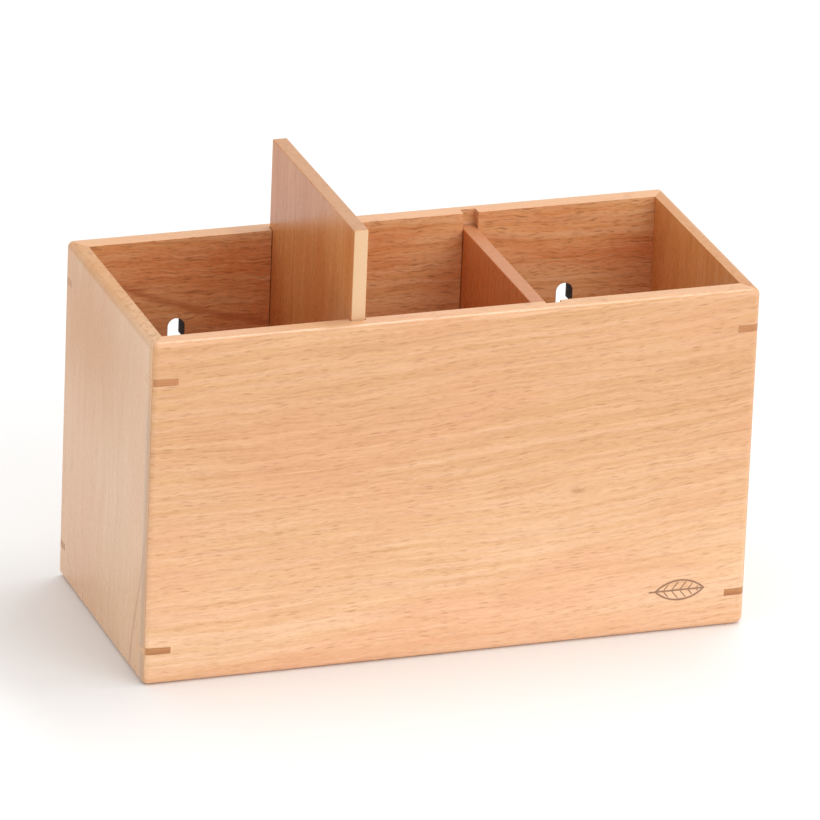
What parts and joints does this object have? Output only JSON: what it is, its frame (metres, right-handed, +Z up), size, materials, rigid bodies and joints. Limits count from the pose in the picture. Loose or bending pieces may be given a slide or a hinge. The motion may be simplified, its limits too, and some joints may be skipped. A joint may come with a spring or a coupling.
{
  "type": "desk organizer box",
  "caption": "Open-topped rectangular wooden box split into compartments by upright boards that slide up in grooves and lift out, with keyed mitred corners and wall-hanging slots in its back.",
  "frame": {"origin": "middle of the footprint, on the surface that the box stands on", "axes": "+X to the right along the box's longest side, +Y from the front to the back, +Z up"},
  "size_m": [0.21, 0.094, 0.1518],
  "materials": {
    "long_board": "clear satin lacquer over beech, grain along the board",
    "end_board": "clear satin lacquer over beech, upright grain",
    "base": "clear satin lacquer over beech, grain along the board",
    "divider": "clear satin lacquer over beech, upright grain",
    "key": "clear satin lacquer over darker wood"
  },
  "bodies": {
    "case": {"front_panel": "long_board", "back_panel": "long_board", "left_end_panel": "end_board", "right_end_panel": "end_board", "base_panel": "base", "key_front_left_top": "key", "key_front_left_bottom": "key", "key_front_right_top": "key", "key_front_right_bottom": "key", "key_back_left_top": "key", "key_back_left_bottom": "key", "key_back_right_top": "key", "key_back_right_bottom": "key"},
    "left_divider": {"left_divider": "divider"},
    "right_divider": {"right_divider": "divider"}
  },
  "joints": [
    {"name": "left_divider_lift", "type": "slide", "parent": "case", "child": "left_divider", "axis": [0, 0, 1], "range_m": [-0.0369, 0.0786]},
    {"name": "right_divider_lift", "type": "slide", "parent": "case", "child": "right_divider", "axis": [0, 0, 1], "range_m": [0, 0.1155]}
  ]
}
